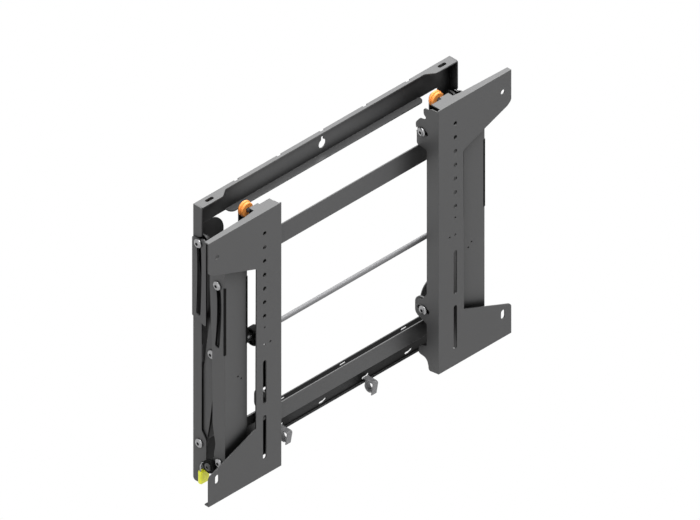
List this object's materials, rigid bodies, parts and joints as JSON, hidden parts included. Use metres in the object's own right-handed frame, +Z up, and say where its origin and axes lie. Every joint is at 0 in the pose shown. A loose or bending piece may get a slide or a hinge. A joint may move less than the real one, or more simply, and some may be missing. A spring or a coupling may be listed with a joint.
{
  "type": "pop-out video wall mount",
  "caption": "Flat wall frame with a scissor linkage that pushes a display carrier out, height-slotted screen brackets, orange depth adjusters, cable clips and a padlock.",
  "frame": {"origin": "centre of the four wall screw holes, in the plane of the wall", "axes": "+X to the right along the rails, +Y into the wall, +Z up"},
  "size_m": [0.635, 0.081, 0.5155],
  "materials": {
    "black_steel": "satin",
    "bright_steel": "satin",
    "black_nylon": "matte",
    "black_rubber": "matte",
    "grey_plastic": "satin",
    "orange_plastic": "gloss",
    "yellow_paint": "gloss"
  },
  "bodies": {
    "wall_frame": {"top_rail": "black_steel", "bottom_rail": "black_steel", "left_side_channel": "black_steel", "right_side_channel": "black_steel", "left_guide_plate": "black_steel", "right_guide_plate": "black_steel", "wall_pivot_bolts": "bright_steel", "wall_pivot_nuts": "bright_steel", "cable_clips": "grey_plastic", "rest_buffers": "black_rubber"},
    "arm_a": {"left_arm_a": "black_steel", "right_arm_a": "black_steel", "display_slider_bolts": "bright_steel", "display_slider_bushes": "black_nylon", "centre_pivot_bolts": "bright_steel"},
    "arm_b": {"left_arm_b": "black_steel", "right_arm_b": "black_steel", "centre_pivot_nuts": "bright_steel", "wall_slider_bolts": "bright_steel", "wall_slider_bushes": "black_nylon", "tie_rod": "bright_steel", "tie_rod_hub": "black_nylon"},
    "display_carrier": {"left_display_channel": "black_steel", "right_display_channel": "black_steel", "left_slide_liner": "black_nylon", "right_slide_liner": "black_nylon", "upper_crossbar": "black_steel", "lower_crossbar": "black_steel", "display_pivot_bolts": "bright_steel", "display_pivot_nuts": "bright_steel", "upper_left_lug": "black_steel", "upper_right_lug": "black_steel", "lower_left_lug": "black_steel", "lower_right_lug": "black_steel", "left_lug_bolts": "bright_steel", "right_lug_bolts": "bright_steel", "catch_pin": "black_steel"},
    "left_bracket_body": {"left_bracket": "black_steel"},
    "right_bracket_body": {"right_bracket": "black_steel"},
    "upper_left_adjuster": {"upper_left_knob": "orange_plastic"},
    "upper_right_adjuster": {"upper_right_knob": "orange_plastic"},
    "lower_left_adjuster": {"lower_left_knob": "orange_plastic"},
    "lower_right_adjuster": {"lower_right_knob": "orange_plastic"},
    "catch_wheel": {"catch_roller": "black_nylon"},
    "padlock": {"padlock_body": "yellow_paint", "padlock_shackle": "bright_steel"}
  },
  "joints": [
    {"name": "arm_swing", "type": "hinge", "parent": "wall_frame", "child": "arm_a", "pos_m": [0, -0.0132, -0.178], "axis": [1, 0, 0], "range_deg": [0, 46.2]},
    {"name": "centre_pivot", "type": "hinge", "parent": "arm_a", "child": "arm_b", "pos_m": [0, -0.03603, -0.00692], "axis": [1, 0, 0], "range_deg": [-85.23, 0]},
    {"name": "display_pivot", "type": "hinge", "parent": "arm_b", "child": "display_carrier", "pos_m": [0, -0.05779, -0.19093], "axis": [1, 0, 0], "range_deg": [0, 34.41]},
    {"name": "left_bracket_slide", "type": "slide", "parent": "display_carrier", "child": "left_bracket_body", "axis": [0, -1, 0], "range_m": [-0.008, 0.008]},
    {"name": "right_bracket_slide", "type": "slide", "parent": "display_carrier", "child": "right_bracket_body", "axis": [0, -1, 0], "range_m": [-0.008, 0.008]},
    {"name": "upper_left_adjuster_turn", "type": "hinge", "parent": "display_carrier", "child": "upper_left_adjuster", "pos_m": [-0.2, -0.05, 0.227], "axis": [0, -1, 0], "range_deg": [-1920.01, 1920.01]},
    {"name": "lower_left_adjuster_turn", "type": "hinge", "parent": "display_carrier", "child": "lower_left_adjuster", "pos_m": [-0.2425, -0.05, -0.22], "axis": [0, -1, 0], "range_deg": [-1920.01, 1920.01]},
    {"name": "upper_right_adjuster_turn", "type": "hinge", "parent": "display_carrier", "child": "upper_right_adjuster", "pos_m": [0.2, -0.05, 0.227], "axis": [0, -1, 0], "range_deg": [-1920.01, 1920.01]},
    {"name": "lower_right_adjuster_turn", "type": "hinge", "parent": "display_carrier", "child": "lower_right_adjuster", "pos_m": [0.2425, -0.05, -0.22], "axis": [0, -1, 0], "range_deg": [-1920.01, 1920.01]},
    {"name": "catch_wheel_turn", "type": "hinge", "parent": "display_carrier", "child": "catch_wheel", "pos_m": [-0.276, -0.041, -0.203], "axis": [1, 0, 0], "continuous": true},
    {"name": "padlock_swing", "type": "hinge", "parent": "wall_frame", "child": "padlock", "pos_m": [-0.268, -0.021, -0.211], "axis": [1, 0, 0], "range_deg": [-20, 5]}
  ],
  "couplings": [
    {"joint": "centre_pivot", "follows": "arm_swing", "ratio": -1.8446},
    {"joint": "display_pivot", "follows": "arm_swing", "ratio": 0.74459},
    {"joint": "upper_left_adjuster_turn", "follows": "left_bracket_slide", "rad_per_m": 4188.8},
    {"joint": "lower_left_adjuster_turn", "follows": "left_bracket_slide", "rad_per_m": 4188.8},
    {"joint": "upper_right_adjuster_turn", "follows": "right_bracket_slide", "rad_per_m": 4188.8},
    {"joint": "lower_right_adjuster_turn", "follows": "right_bracket_slide", "rad_per_m": 4188.8}
  ]
}
